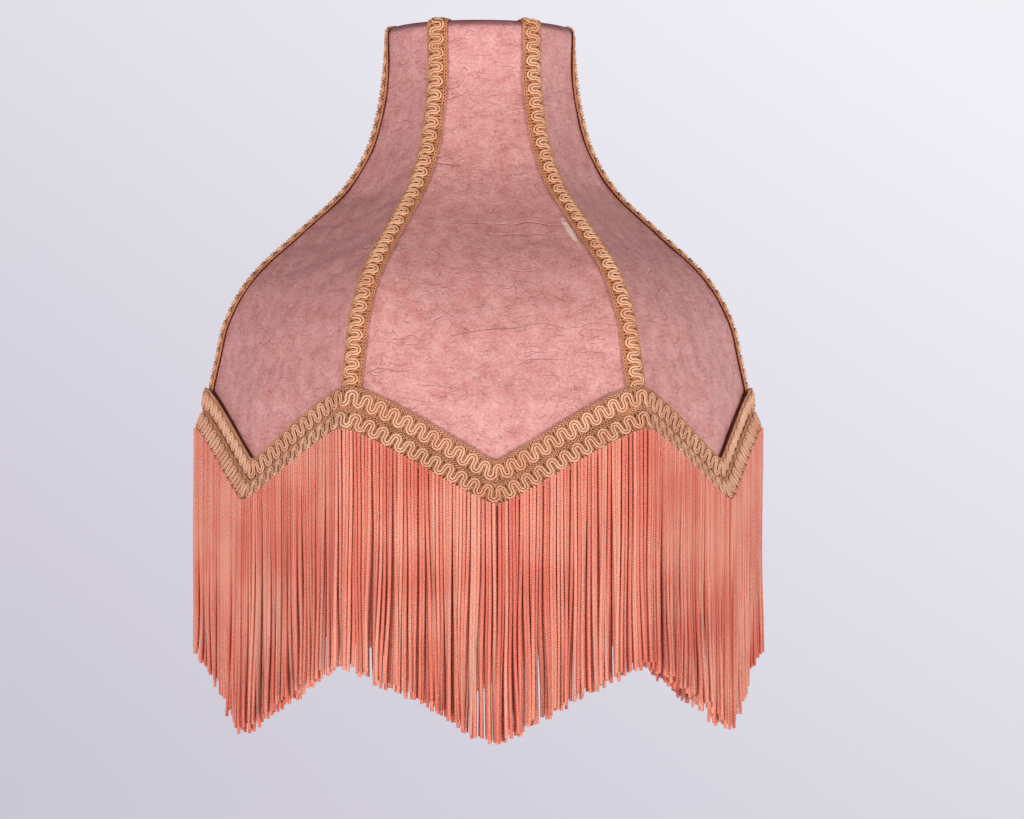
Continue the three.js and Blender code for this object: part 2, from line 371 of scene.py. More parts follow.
def cloth_material(name, dark, light):
    """A plain weave: crossed threads in relief, with a soft mottling."""
    material, tree, shader = new_material(name)
    cloth = add_node(tree, "ShaderNodeUVMap", uv_map="cloth").outputs[0]
    scaled = add_node(tree, "ShaderNodeVectorMath", {0: cloth, "Scale": 2 * math.pi / WEAVE_PITCH},
                      operation="SCALE")
    parts = add_node(tree, "ShaderNodeSeparateXYZ", {0: scaled})
    warp = add_node(tree, "ShaderNodeMath", {0: parts.outputs[0]}, operation="SINE")
    weft = add_node(tree, "ShaderNodeMath", {0: parts.outputs[1]}, operation="SINE")
    weave = add_node(tree, "ShaderNodeMath", {0: warp, 1: weft}, operation="MULTIPLY")
    mottle = add_node(tree, "ShaderNodeTexNoise", {"Vector": cloth, "Scale": 1 / MOTTLE_SIZE, "Detail": 4.0})
    shade = add_node(tree, "ShaderNodeMath", {0: weave, 1: 0.1, 2: mottle.outputs["Fac"]},
                     operation="MULTIPLY_ADD")
    colour = add_node(tree, "ShaderNodeMix", {"Factor": shade, 6: hex_colour(dark), 7: hex_colour(light)},
                      data_type="RGBA")
    tree.links.new(colour.outputs[2], shader.inputs["Base Color"])
    bump = add_node(tree, "ShaderNodeBump", {"Height": weave, "Distance": 0.2 * MM, "Strength": 0.5})
    tree.links.new(bump.outputs[0], shader.inputs["Normal"])
    shader.inputs["Roughness"].default_value = 0.85
    return material


def enamel_material():
    """Cream enamel on steel wire, a little lumpy from dipping, yellowed in places."""
    material, tree, shader = new_material("cream_enamelled_wire")
    place = add_node(tree, "ShaderNodeTexCoord").outputs["Object"]
    patches = add_node(tree, "ShaderNodeTexNoise", {"Vector": place, "Scale": 1 / (18 * MM), "Detail": 4.0})
    colour = add_node(tree, "ShaderNodeMix", {"Factor": patches.outputs["Fac"], 6: hex_colour("#C9B994"),
                                              7: hex_colour("#EFE6D2")}, data_type="RGBA")
    tree.links.new(colour.outputs[2], shader.inputs["Base Color"])
    lumps = add_node(tree, "ShaderNodeTexNoise", {"Vector": place, "Scale": 1 / (3 * MM), "Detail": 2.0})
    bump = add_node(tree, "ShaderNodeBump", {"Height": lumps.outputs["Fac"], "Distance": 0.15 * MM,
                                             "Strength": 0.5})
    tree.links.new(bump.outputs[0], shader.inputs["Normal"])
    shader.inputs["Roughness"].default_value = 0.35
    shader.inputs["IOR"].default_value = 1.5
    return material


FRINGE_CORD = cord_material("chainette_viscose", "#DA7059", "#F2A188", STITCH_PITCH, 0.25 * MM, 60 * MM, 0.5)
WRAPPED = (TWIST_PITCH, 0.15 * MM, 22 * MM, 0.0)
# The rib and hem gimp are one braid. The rib copy's cords and threads are a little brighter, which is painted
# light.
SCROLL_RIB = cord_material("rib_gimp_cord", "#DE9C70", "#F6C69C", *WRAPPED)
SCROLL_HEM = cord_material("hem_gimp_cord", "#DC9A74", "#F2C19C", *WRAPPED)
PLIED = (TWIST_PITCH, 0.1 * MM, 8 * MM, 0.0)
GROUND_RIB = cord_material("rib_gimp_thread", "#C07A4C", "#E29C6A", *PLIED)
GROUND_HEM = cord_material("hem_gimp_thread", "#B47650", "#DA9A70", *PLIED)
# The gimp grounds are dark brown: a painted shade for the gaps between the cords.
SHADED_TAPE_RIB = cloth_material("rib_gimp_ground", "#6A3219", "#874826")
SHADED_TAPE_HEM = cloth_material("hem_gimp_ground", "#6E3D2A", "#8A5438")
LINING = cloth_material("cream_backing_cloth", "#D8C8A6", "#EFE3C8")
HEADING = cloth_material("fringe_heading_braid", "#B5543F", "#D97C66")
ENAMEL = enamel_material()
print("made", len(bpy.data.materials), "materials in all")

# %% [markdown]
# ## A mesh from rows of points
# Panels, linings and tapes are all thin sheets. Each is made from two grids of points, its outer and
# its inner face, sewn together round the edge into one closed shell. The UV map is measured in metres
# along the cloth, so a weave or a crease keeps its real size on every piece.

# %% Closed shells


def link_mesh(name, vertices, faces, material):
    mesh = bpy.data.meshes.new(name)
    mesh.from_pydata(np.asarray(vertices).reshape(-1, 3).tolist(), [], faces)
    mesh.materials.append(material)
    mesh.shade_smooth()
    piece = bpy.data.objects.new(name, mesh)
    bpy.context.scene.collection.objects.link(piece)
    return piece


def shell(name, outer, inner, material, uv_shift=0.0):
    """A closed sheet between two grids of points, rows down and columns across, seen from outside."""
    rows, columns = outer.shape[:2]
    count = rows * columns
    front = np.arange(count).reshape(rows, columns)
    back = front + count
    faces = []
    for near, flip in ((front, False), (back, True)):
        quads = np.stack([near[:-1, :-1], near[1:, :-1], near[1:, 1:], near[:-1, 1:]], axis=-1).reshape(-1, 4)
        faces += (quads[:, ::-1] if flip else quads).tolist()
    rim = np.concatenate([front[0, :], front[1:, -1], front[-1, -2::-1], front[-2:0:-1, 0]])
    for i, start in enumerate(rim):
        end = rim[(i + 1) % len(rim)]
        faces.append([int(start), int(end), int(end + count), int(start + count)])
    piece = link_mesh(name, np.concatenate([outer.reshape(-1, 3), inner.reshape(-1, 3)]), faces, material)
    across = np.linalg.norm(np.diff(outer, axis=1, prepend=outer[:, :1]), axis=2).cumsum(1)
    across -= across[:, columns // 2, None]
    down = np.linalg.norm(np.diff(outer, axis=0, prepend=outer[:1]), axis=2).cumsum(0)
    cloth = np.stack([across + uv_shift, down], axis=-1).reshape(-1, 2)
    corner = np.empty(len(piece.data.loops), int)
    piece.data.loops.foreach_get("vertex_index", corner)
    layer = piece.data.uv_layers.new(name="cloth")
    layer.data.foreach_set("uv", cloth[corner % count].astype(np.float32).ravel())
    return piece


def set_attribute(piece, name, values, kind="FLOAT"):
    attribute = piece.data.attributes.new(name, kind, "POINT")
    field = "vector" if kind == "FLOAT_VECTOR" else "value"
    attribute.data.foreach_set(field, np.asarray(values, np.float32).ravel())


print("helpers ready")

# %% [markdown]
# ## The satin panels
# Each panel is cut on the flat, stretched between two ribs, turned over the top ring at the top and
# glued to the hem wire at the bottom. A grid that follows the bell formulas gives that shape, and small
# pushes in and out, from noise and from the lines where it crosses zero, give the folds that stand proud
# enough to catch the light. The first panel has a bare patch beside its right rib, where the satin has
# worn through to the cream backing.

# %% Panels
PANEL_COLUMNS = 97
PANEL_ROWS = 175
PANEL_OUTER = 3.1 * MM
PANEL_INNER = 2.2 * MM
SEAM_HALF_GAP = 0.2 * MM
TOP_WIRE_DEPTH = 2.2 * MM
TURN_IN_LENGTH = 9 * MM
FOLD_HEIGHT = 0.8 * MM
WAVE_HEIGHT = 1.1 * MM
WAVE_SIZE = 34 * MM
FOLD_SIZES = (26 * MM, 8 * MM)
FOLD_SHARPNESS = 0.07
FOLD_PATCH_SIZE = 30 * MM
FOLD_PATCH_SHIFT = Vector((7.3, 2.9, 5.1))
EDGE_HOLD = 12
SEED_STEP = 1.7
UV_STEP = 0.37
FOLD_ROWS = 11
WORN_DEPTH = 149 * MM
WORN_FROM_RIB = 9.8 * MM
WORN_HALF_WIDTH = 2.6 * MM
WORN_HALF_LENGTH = 12 * MM
# How dark the painted shade on the top ring's fold is, and how far down the panel it fades.
FOLD_SHADE_STRENGTH = 0.75
FOLD_SHADE_REACH = 1.2 * MM


def turn_in(angle, share, out):
    """The cloth's top edge: up the inside of the top ring and over it, share 0 inside to 1 outside."""
    ring_radius = surface_radius(angle, TOP_WIRE_DEPTH)
    bend_length = math.pi * out
    along = share * (TURN_IN_LENGTH + bend_length)
    straight = np.maximum(TURN_IN_LENGTH - along, 0)
    swing = np.clip((along - TURN_IN_LENGTH) / bend_length, 0, 1) * math.pi
    return polar(ring_radius - out * np.cos(swing), angle, TOP_WIRE_DEPTH + straight - out * np.sin(swing))


def crease_push(angle, depth, seed):
    """How far the creased cloth stands off its smooth shape, from noise in the cloth's own place."""
    push = np.zeros(angle.shape)
    radius = surface_radius(angle, depth)
    for index in np.ndindex(angle.shape):
        spot = Vector((radius[index] * angle[index] * 0.75 + seed, depth[index], seed))
        bend = noise.noise(spot / FOLD_SIZES[0]) + 0.35 * noise.noise(spot / FOLD_SIZES[1])
        patch = max(0.0, noise.noise(spot / FOLD_PATCH_SIZE + FOLD_PATCH_SHIFT) + 0.2)
        fold = math.exp(-((bend / FOLD_SHARPNESS) ** 2)) * patch
        push[index] = noise.noise(spot / WAVE_SIZE) * WAVE_HEIGHT - fold * FOLD_HEIGHT
    return push


def make_panel(side):
    middle = FRONT + (side - 1) * SECTOR
    u = np.linspace(0, 1, PANEL_COLUMNS)[None, :]
    v = np.linspace(0, 1, PANEL_ROWS)[:, None]
    edge = middle + (u - 0.5) * SECTOR
    inset = (1 - 2 * u) * SEAM_HALF_GAP / bell_radius(v * HEM_PEAK_DEPTH)
    angle = edge + inset
    depth = TOP_WIRE_DEPTH + v * (hem_depth(angle) + 2 * MM - TOP_WIRE_DEPTH)
    held_u, held_v = (np.minimum(np.minimum(share, 1 - share) * EDGE_HOLD, 1) for share in (u, v))
    push = crease_push(angle + 0 * v, depth, side * SEED_STEP) * (held_u * held_v)
    fold_share = np.linspace(0, 1, FOLD_ROWS + 1)[:-1, None]
    top_angle = edge + (1 - 2 * u) * SEAM_HALF_GAP / BELL_RADII[0] + 0 * fold_share
    faces = []
    for out in (PANEL_OUTER, PANEL_INNER):
        top = turn_in(top_angle, fold_share + 0 * u, out)
        faces.append(np.concatenate([top, off_surface(angle, depth, out + push)]))
    piece = shell(f"satin_panel_{side}", *faces, SATIN, uv_shift=side * UV_STEP)
    from_rib = (1 - u) * SECTOR * surface_radius(angle, depth)
    aside, below = (from_rib - WORN_FROM_RIB) / WORN_HALF_WIDTH, (depth - WORN_DEPTH) / WORN_HALF_LENGTH
    wear = np.concatenate([0 * top_angle, np.exp(-(aside**2) - below**2) * (side == 1)])
    set_attribute(piece, "wear", np.concatenate([wear.ravel(), 0 * wear.ravel()]))
    # A painted shade on the fold over the top ring, fading down the panel.
    fold_shade = np.concatenate([1 + 0 * top_angle, np.exp(-((depth - TOP_WIRE_DEPTH) / FOLD_SHADE_REACH))])
    set_attribute(piece, "fold_shade", np.tile(FOLD_SHADE_STRENGTH * fold_shade.ravel(), 2))
    return piece


panels = {}
for side in range(1, SIDES + 1):
    panels[side] = make_panel(side)
    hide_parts(f"panel_{side}")
    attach(panels[side], "shade")
print("panels:", len(panels), "with", len(panels[1].data.polygons), "faces each")

# %% [markdown]
# ## The cream lining
# A thinner cloth backs each panel. It stops short of the ribs and rings, and sits just inside the satin,
# so it is what shows when the shade is seen from below.

# %% Linings
LINING_COLUMNS = 33
LINING_ROWS = 60
LINING_OUTER = 0.9 * MM
LINING_INNER = 0.3 * MM
LINING_SIDE_GAP = 3 * MM
LINING_TOP = 0.025
LINING_BOTTOM = 0.975


def make_lining(side):
    middle = FRONT + (side - 1) * SECTOR
    u = np.linspace(0, 1, LINING_COLUMNS)[None, :]
    v = np.linspace(LINING_TOP, LINING_BOTTOM, LINING_ROWS)[:, None]
    angle = middle + (u - 0.5) * SECTOR + (1 - 2 * u) * LINING_SIDE_GAP / bell_radius(v * HEM_PEAK_DEPTH)
    depth = v * hem_depth(angle)
    faces = [off_surface(angle, depth, out) for out in (LINING_OUTER, LINING_INNER)]
    return shell(f"cream_lining_{side}", *faces, LINING)


linings = {}
for side in range(1, SIDES + 1):
    linings[side] = make_lining(side)
    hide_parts(f"lining_{side}")
    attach(linings[side], "shade")
print("linings:", len(linings))

# %% [markdown]
# ## Running a node tree
# What follows a path, such as cord, thread and wire, is made by Geometry Nodes. The path is a chain of
# points with its own attributes: "out" points away from the shade, and "fall" says how fast the tape
# drops away on each side of a ridge. Two functions do what the trees here share: placing the cords, and
# sweeping a round profile along them. Another gives a tree its inputs, evaluates it, and keeps the
# result as a plain mesh.

# %% Paths and baking


def make_path(points, **vectors):
    """A chain of points joined by edges, with vector attributes on its points."""
    points = np.asarray(points)
    mesh = bpy.data.meshes.new("path")
    mesh.from_pydata(points.tolist(), [(i, i + 1) for i in range(len(points) - 1)], [])
    path = bpy.data.objects.new("path", mesh)
    bpy.context.scene.collection.objects.link(path)
    for name, values in vectors.items():
        set_attribute(path, name, values, "FLOAT_VECTOR")
    return path


def new_tree(name, sockets):
    """A Geometry Nodes tree with a geometry input and output and the named inputs."""
    tree = bpy.data.node_groups.new(name, "GeometryNodeTree")
    tree.interface.new_socket(name="Geometry", in_out="INPUT", socket_type="NodeSocketGeometry")
    tree.interface.new_socket(name="Geometry", in_out="OUTPUT", socket_type="NodeSocketGeometry")
    for socket_name, kind in sockets.items():
        tree.interface.new_socket(name=socket_name, in_out="INPUT", socket_type="NodeSocket" + kind)
    return tree, add_node(tree, "NodeGroupInput").outputs


def place_cords(tree, cords, place, steps):
    """Moves points along some directions, and stores how far along its cord each one is."""
    for direction, amount in steps:
        step = add_node(tree, "ShaderNodeVectorMath", {0: direction, "Scale": amount}, operation="SCALE")
        place = add_node(tree, "ShaderNodeVectorMath", {0: place, 1: step}, operation="ADD")
    laid = add_node(tree, "GeometryNodeSetPosition", {"Geometry": cords, "Position": place})
    along = add_node(tree, "GeometryNodeSplineParameter").outputs["Length"]
    return add_node(tree, "GeometryNodeStoreNamedAttribute", {
        "Geometry": laid, "Name": "along", "Value": along}, data_type="FLOAT", domain="POINT")


def end_tree(tree, given, curve):
    """Ends a tree: sweeps a round profile along its curves and gives the tubes their material."""
    profile = add_node(tree, "GeometryNodeCurvePrimitiveCircle", {"Resolution": given["Facets"],
                                                                  "Radius": given["Radius"]})
    tube = add_node(tree, "GeometryNodeCurveToMesh", {"Curve": curve, "Profile Curve": profile,
                                                      "Fill Caps": True})
    smooth = add_node(tree, "GeometryNodeSetShadeSmooth", {"Geometry": tube})
    real = add_node(tree, "GeometryNodeRealizeInstances", {"Geometry": smooth})
    finish = add_node(tree, "GeometryNodeSetMaterial", {"Geometry": real, "Material": given["Material"]})
    add_node(tree, "NodeGroupOutput", {0: finish})


def bake(name, path, tree, **values):
    """Runs a tree on a path and keeps the result as a plain mesh object, without the path."""
    modifier = path.modifiers.new(tree.name, "NODES")
    modifier.node_group = tree
    for socket in tree.interface.items_tree:
        key = socket.name.lower().replace(" ", "_")
        if socket.in_out == "INPUT" and key in values:
            modifier[socket.identifier] = values[key]
    depsgraph = bpy.context.evaluated_depsgraph_get()
    mesh = bpy.data.meshes.new_from_object(path.evaluated_get(depsgraph), preserve_all_data_layers=True,
                                           depsgraph=depsgraph)
    mesh.name = name
    bpy.data.objects.remove(path)
    piece = bpy.data.objects.new(name, mesh)
    bpy.context.scene.collection.objects.link(piece)
    return piece


def join(name, parts):
    """Several pieces on one body made one object, which keeps all their materials."""
    with bpy.context.temp_override(active_object=parts[0], selected_editable_objects=parts):
        bpy.ops.object.join()
    parts[0].name = name
    parts[0].data.name = name
    return parts[0]


print("ready to run node trees")

# %% [markdown]
# ## Wire frame
# The frame is steel wire, bent cold, welded and dipped in enamel. A wire is a circle swept along a path,
# which is the simplest useful node tree: mesh to curve, a profile, and Curve to Mesh.

# %% Wire tree and wires
WIRE_FACETS = 14


def wire_tree():
    tree, given = new_tree("Swept wire", {"Radius": "Float", "Facets": "Int", "Closed": "Bool",
                                          "Material": "Material"})
    curve = add_node(tree, "GeometryNodeMeshToCurve", {"Mesh": given["Geometry"]})
    cyclic = add_node(tree, "GeometryNodeSetSplineCyclic", {"Geometry": curve, "Cyclic": given["Closed"]})
    end_tree(tree, given, cyclic)
    return tree


WIRE_TREE = wire_tree()


def wire(name, points, closed=False):
    return bake(name, make_path(points), WIRE_TREE, radius=WIRE_RADIUS, facets=WIRE_FACETS, closed=closed,
                material=ENAMEL)


def finish_wire(piece, *nodes):
    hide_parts(*nodes)
    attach(piece, "shade")


circle = np.linspace(0, 2 * math.pi, 144, endpoint=False)
top_ring = polar(bell_radius(TOP_WIRE_DEPTH), circle, TOP_WIRE_DEPTH)
finish_wire(wire("top_ring_wire", top_ring, closed=True), "top_ring")
hem = polar(hem_radius(circle), circle, hem_depth(circle))
finish_wire(wire("zigzag_hem_wire", hem, closed=True), "hem_wire")
for side in range(1, SIDES + 1):
    angle = FRONT + (side - 0.5) * SECTOR
    depth = np.linspace(TOP_WIRE_DEPTH + 2 * WIRE_RADIUS, HEM_PEAK_DEPTH - 2 * WIRE_RADIUS, 60)
    rib = wire(f"rib_wire_{side}", polar(bell_radius(depth), angle, depth))
    finish_wire(rib, f"rib_{side}")
print("wires: top ring, hem and", SIDES, "ribs")

# %% [markdown]
# ## The fitter
# The lampholder grips a flat washer ring, and three bent wires carry it from the top ring. The washer is
# turned from its outline, with a small rounded edge, as a pressed and dipped washer has.

# %% Fitter ring and arms
FITTER_HOLE = 21 * MM
FITTER_EDGE = 0.6 * MM
FITTER_STEPS = 96
ARM_KNEE_RADIUS = 50 * MM


def make_fitter_ring():
    low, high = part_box("fitter_ring")
    outline = []
    corners = [(high.x, low.z), (high.x, high.z), (FITTER_HOLE, high.z), (FITTER_HOLE, low.z)]
    for number, (radius, height) in enumerate(corners):
        inward = (-1 if radius == high.x else 1, 1 if height == low.z else -1)
        centre = (radius + inward[0] * FITTER_EDGE, height + inward[1] * FITTER_EDGE)
        for step in range(5):
            turn = (number - 1 + step / 4) * math.pi / 2
            outline.append((centre[0] + FITTER_EDGE * math.cos(turn),
                            centre[1] + FITTER_EDGE * math.sin(turn)))
    rings, points = FITTER_STEPS, len(outline)
    vertices = [(r * math.cos(a), r * math.sin(a), z)
                for a in np.linspace(0, 2 * math.pi, rings, endpoint=False) for r, z in outline]
    faces = [(i * points + j, (i + 1) % rings * points + j,
              (i + 1) % rings * points + (j + 1) % points, i * points + (j + 1) % points)
             for i in range(rings) for j in range(points)]
    return link_mesh("fitter_washer", vertices, faces, ENAMEL)


def arm_path(name):
    """From the washer's edge, level, up at the knee, and onto the inside of the top ring."""
    low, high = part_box(name)
    middle = (low + high) / 2
    angle = math.atan2(middle.y, middle.x)
    top_radius = bell_radius(TOP_WIRE_DEPTH) - 2 * WIRE_RADIUS - 0.6 * MM
    knots = [Vector((27.6 * MM, 0, 0)), Vector((41 * MM, 0, 1 * MM)), Vector((ARM_KNEE_RADIUS, 0, 8 * MM)),
             Vector((top_radius - 2 * MM, 0, 20 * MM)), Vector((top_radius, 0, 28.8 * MM))]
    curve = bpy.data.curves.new("arm", "CURVE")
    spline = curve.splines.new("BEZIER")
    spline.bezier_points.add(len(knots) - 1)
    for point, knot in zip(spline.bezier_points, knots):
        point.co = knot
        point.handle_left_type = point.handle_right_type = "AUTO"
    shape = bpy.data.objects.new("arm", curve)
    bpy.context.scene.collection.objects.link(shape)
    route = np.array([v.co for v in shape.to_mesh().vertices])
    bpy.data.objects.remove(shape)
    turn = np.array([[math.cos(angle), math.sin(angle), 0], [0, 0, 0], [0, 0, 1]])
    return route @ turn


finish_wire(make_fitter_ring(), "fitter_ring")
for number in (1, 2, 3):
    arm = wire(f"fitter_wire_{number}", arm_path(f"fitter_arm_{number}"))
    finish_wire(arm, f"fitter_arm_{number}")
print("fitter: washer and 3 arms")

# %% [markdown]
# ## Scroll gimp
# Gimp is a narrow braid. A pair of wrapped cords runs side by side in a meander. Under it, four threads
# cross over each other from edge to edge, and a little two-strand chain makes the scalloped edges, all
# on a closely woven ground. The ground is coloured dark brown, a painted shade in the gaps between cords.
#
# One tree makes the cords, the threads and the chains, because each is a wave laid along a path. The
# wave is made flat: a distance along the path, and a distance across it. A little of the double angle
# added to the distance along makes the loops lean and round. Side by side strands are set off square to
# the wave's own heading. Each point is then looked up on the path, so the wave follows every bend, and
# the "fall" folds it over a rib.

# %% Gimp wave tree


RIDGE_SOFTNESS = 1.2 * MM
FULL_TURN = 2 * math.pi


def wave_tree():
    tree, given = new_tree("Gimp wave", {
        "Pitch": "Float", "Half Width": "Float", "Lean": "Float", "Strands": "Int", "Spacing": "Float",
        "Phase": "Float", "Offset": "Float", "Radius": "Float", "Lift": "Float", "Steps": "Int",
        "Facets": "Int", "Material": "Material"})
    path = add_node(tree, "GeometryNodeMeshToCurve", {"Mesh": given["Geometry"]})
    length = add_node(tree, "GeometryNodeCurveLength", {"Curve": path})
    pitches = add_node(tree, "ShaderNodeMath", {0: length, 1: given["Pitch"]}, operation="DIVIDE")
    waves = add_node(tree, "ShaderNodeMath", {0: pitches}, operation="ROUND")
    count = add_node(tree, "ShaderNodeMath", {0: waves, 1: given["Steps"]}, operation="MULTIPLY")
    line = add_node(tree, "GeometryNodeCurvePrimitiveLine", {"End": (1, 0, 0)})
    points = add_node(tree, "GeometryNodeResampleCurve", {"Curve": line, "Count": count})
    strands = add_node(tree, "GeometryNodeDuplicateElements", {"Geometry": points,
                                                               "Amount": given["Strands"]}, domain="SPLINE")
    share = add_node(tree, "GeometryNodeSplineParameter").outputs["Factor"]
    number = strands.outputs["Duplicate Index"]

    start = add_node(tree, "ShaderNodeMath", {0: number, 1: given["Phase"]}, operation="MULTIPLY")
    done = add_node(tree, "ShaderNodeMath", {0: share, 1: waves}, operation="MULTIPLY")
    turn = add_node(tree, "ShaderNodeMath", {0: done, 1: FULL_TURN, 2: start}, operation="MULTIPLY_ADD")
    double = add_node(tree, "ShaderNodeMath", {0: turn, 1: 2.0}, operation="MULTIPLY")
    run = add_node(tree, "ShaderNodeMath", {0: share, 1: length}, operation="MULTIPLY")
    double_sine = add_node(tree, "ShaderNodeMath", {0: double}, operation="SINE")
    along = add_node(tree, "ShaderNodeMath", {0: double_sine, 1: given["Lean"], 2: run},
                     operation="MULTIPLY_ADD")
    cosine = add_node(tree, "ShaderNodeMath", {0: turn}, operation="COSINE")
    across = add_node(tree, "ShaderNodeMath", {0: cosine, 1: given["Half Width"], 2: given["Offset"]},
                      operation="MULTIPLY_ADD")

    double_cosine = add_node(tree, "ShaderNodeMath", {0: double}, operation="COSINE")
    lean_pace = add_node(tree, "ShaderNodeMath", {0: given["Lean"], 1: 2.0}, operation="MULTIPLY")
    even_pace = add_node(tree, "ShaderNodeMath", {0: given["Pitch"], 1: FULL_TURN}, operation="DIVIDE")
    pace = add_node(tree, "ShaderNodeMath", {0: double_cosine, 1: lean_pace, 2: even_pace},
                    operation="MULTIPLY_ADD")
    sine = add_node(tree, "ShaderNodeMath", {0: turn}, operation="SINE")
    steepest = add_node(tree, "ShaderNodeMath", {0: given["Half Width"], 1: -1.0}, operation="MULTIPLY")
    climb = add_node(tree, "ShaderNodeMath", {0: sine, 1: steepest}, operation="MULTIPLY")
    heading = add_node(tree, "ShaderNodeCombineXYZ", {0: pace, 1: climb})
    heading = add_node(tree, "ShaderNodeVectorMath", {0: heading}, operation="NORMALIZE")
    heading = add_node(tree, "ShaderNodeSeparateXYZ", {0: heading}).outputs
    last = add_node(tree, "ShaderNodeMath", {0: given["Strands"], 1: 1.0}, operation="SUBTRACT")
    middle = add_node(tree, "ShaderNodeMath", {0: last, 1: 0.5}, operation="MULTIPLY")
    from_middle = add_node(tree, "ShaderNodeMath", {0: number, 1: middle}, operation="SUBTRACT")
    shift = add_node(tree, "ShaderNodeMath", {0: from_middle, 1: given["Spacing"]}, operation="MULTIPLY")
    shift_back = add_node(tree, "ShaderNodeMath", {0: heading[1], 1: shift}, operation="MULTIPLY")
    shifted_along = add_node(tree, "ShaderNodeMath", {0: along, 1: shift_back}, operation="SUBTRACT")
    shifted_across = add_node(tree, "ShaderNodeMath", {0: heading[0], 1: shift, 2: across},
                              operation="MULTIPLY_ADD")

    factor = add_node(tree, "ShaderNodeMath", {0: shifted_along, 1: length}, operation="DIVIDE")
    on_path = {}
    for name in ("out", "fall"):
        named = add_node(tree, "GeometryNodeInputNamedAttribute", {"Name": name},
                         data_type="FLOAT_VECTOR")
        on_path[name] = add_node(tree, "GeometryNodeSampleCurve", {
            "Curves": path, "Factor": factor, "Value": named}, mode="FACTOR", data_type="FLOAT_VECTOR")
    out = on_path["out"]
    side = add_node(tree, "ShaderNodeVectorMath", {0: out, 1: out.outputs["Tangent"]},
                    operation="CROSS_PRODUCT")
    side = add_node(tree, "ShaderNodeVectorMath", {0: side}, operation="NORMALIZE")
    squared = add_node(tree, "ShaderNodeMath", {0: shifted_across, 1: shifted_across, 2: RIDGE_SOFTNESS**2},
                       operation="MULTIPLY_ADD")
    from_ridge = add_node(tree, "ShaderNodeMath", {0: squared}, operation="SQRT")
    drop = add_node(tree, "ShaderNodeMath", {0: from_ridge, 1: RIDGE_SOFTNESS}, operation="SUBTRACT")
    cords = place_cords(tree, strands, out.outputs["Position"], (
        (side, shifted_across), (on_path["fall"], drop), (out, given["Lift"])))
    end_tree(tree, given, cords)
    return tree


SCROLL = {"pitch": 9.8 * MM, "half_width": 4.15 * MM, "lean": 0.8 * MM, "strands": 2, "spacing": 1.85 * MM,
          "radius": 0.74 * MM, "lift": 1.85 * MM, "steps": 18, "facets": 6}
THREAD = {"pitch": 9.8 * MM, "half_width": 6.2 * MM, "lean": 0.0, "strands": 4, "phase": math.pi / 2,
          "radius": 0.5 * MM, "lift": 0.95 * MM, "steps": 12, "facets": 4}
PICOT = {"pitch": 4.9 * MM, "half_width": 0.9 * MM, "lean": 0.0, "strands": 2, "phase": math.pi,
         "radius": 0.46 * MM, "lift": 1.15 * MM, "steps": 6, "facets": 4}
PICOT_OUT = 6.7 * MM
WAVE_TREE = wave_tree()
print("wave tree has", len(WAVE_TREE.nodes), "nodes")

# %% [markdown]
# ## Gimp on the ribs and round the hem
# On a rib, the tape starts inside the top ring, wraps over the edge, runs down the ridge between two
# panels and tucks under the hem band. Its two halves fold back onto the two panels, so "fall" is
# measured from the bell formulas. Round the hem, two rows lie one above the other. Both are one length,
# joined at the back, and the upper row rises a little where it crosses the end of each rib's tape.

# %% Gimp tapes
GROUND_HALF_WIDTH = 6.7 * MM
GROUND_THICKNESS = 0.7 * MM
GROUND_COLUMNS = 5
RIB_TAPE_OFFSET = 3.3 * MM
TAPE_REACH = 7 * MM
UPPER_ROW_DOWN = -7.8 * MM
LOWER_ROW_DOWN = 7.9 * MM
UPPER_ROW_OFFSET = 5.2 * MM
LOWER_ROW_OFFSET = 6.4 * MM
CROSSING_RISE = 1.4 * MM
CROSSING_WIDTH = 12 * MM
HEM_PADDING = 1.4 * MM
CORNER_SQUEEZE = 1 * MM
BUTT_JOIN = 1.5 * MM


def unit(vectors):
    return vectors / np.linalg.norm(vectors, axis=-1, keepdims=True)


def lay_tape(name, points, out, fall, scroll, thread, ground, nodes, padding=0.0):
    """A gimp along a path: its woven ground, its fine threads and its pair of scroll cords."""
    tangent = unit(np.gradient(points, axis=0))
    side = unit(np.cross(out, tangent))
    across = np.linspace(-GROUND_HALF_WIDTH, GROUND_HALF_WIDTH, GROUND_COLUMNS)[None, :, None]
    drop = np.sqrt(across**2 + RIDGE_SOFTNESS**2) - RIDGE_SOFTNESS
    middle = points[:, None] - side[:, None] * across + fall[:, None] * drop
    bottom = middle - out[:, None] * padding
    top = middle + out[:, None] * GROUND_THICKNESS
    parts = [shell("ground", top, bottom, ground)]
    edges = [{**PICOT, "offset": PICOT_OUT}, {**PICOT, "offset": -PICOT_OUT}]
    for wave, material in ((THREAD, thread), (edges[0], thread), (edges[1], thread), (SCROLL, scroll)):
        path = make_path(points, out=out, fall=fall)
        parts.append(bake("wave", path, WAVE_TREE, material=material, **wave))
    piece = join(name, parts)
    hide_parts(*nodes)
    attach(piece, "shade")
    return piece


def rib_tape(side):
    """Path of a rib's gimp: over the top ring, down the ridge and under the hem band."""
    angle = FRONT + (side - 0.5) * SECTOR
    share = np.linspace(0, 1, 14)[:-1]
    over = turn_in(angle, share, RIB_TAPE_OFFSET)
    depth = np.linspace(TOP_WIRE_DEPTH, HEM_PEAK_DEPTH - 6 * MM, 150)
    ridge = off_surface(angle, depth, RIB_TAPE_OFFSET)
    points = np.concatenate([over, ridge])
    radial = np.array([math.cos(angle), math.sin(angle), 0])
    tangent = unit(np.gradient(points, axis=0))
    out = unit(np.cross(tangent, np.cross(radial, tangent)))
    ring = polar(surface_radius(angle, TOP_WIRE_DEPTH), angle, TOP_WIRE_DEPTH)
    out[:len(over)] = unit(over - ring + 1e-9 * radial)
    out[:4] = -radial
    reach = TAPE_REACH / bell_radius(depth)
    beside = off_surface(angle + reach, depth, RIB_TAPE_OFFSET)
    slip = np.sum((ridge - beside) * out[len(over):], axis=1) / TAPE_REACH
    slip = np.concatenate([np.full(len(over), slip[0]), slip])
    return points, out, -out * slip[:, None]


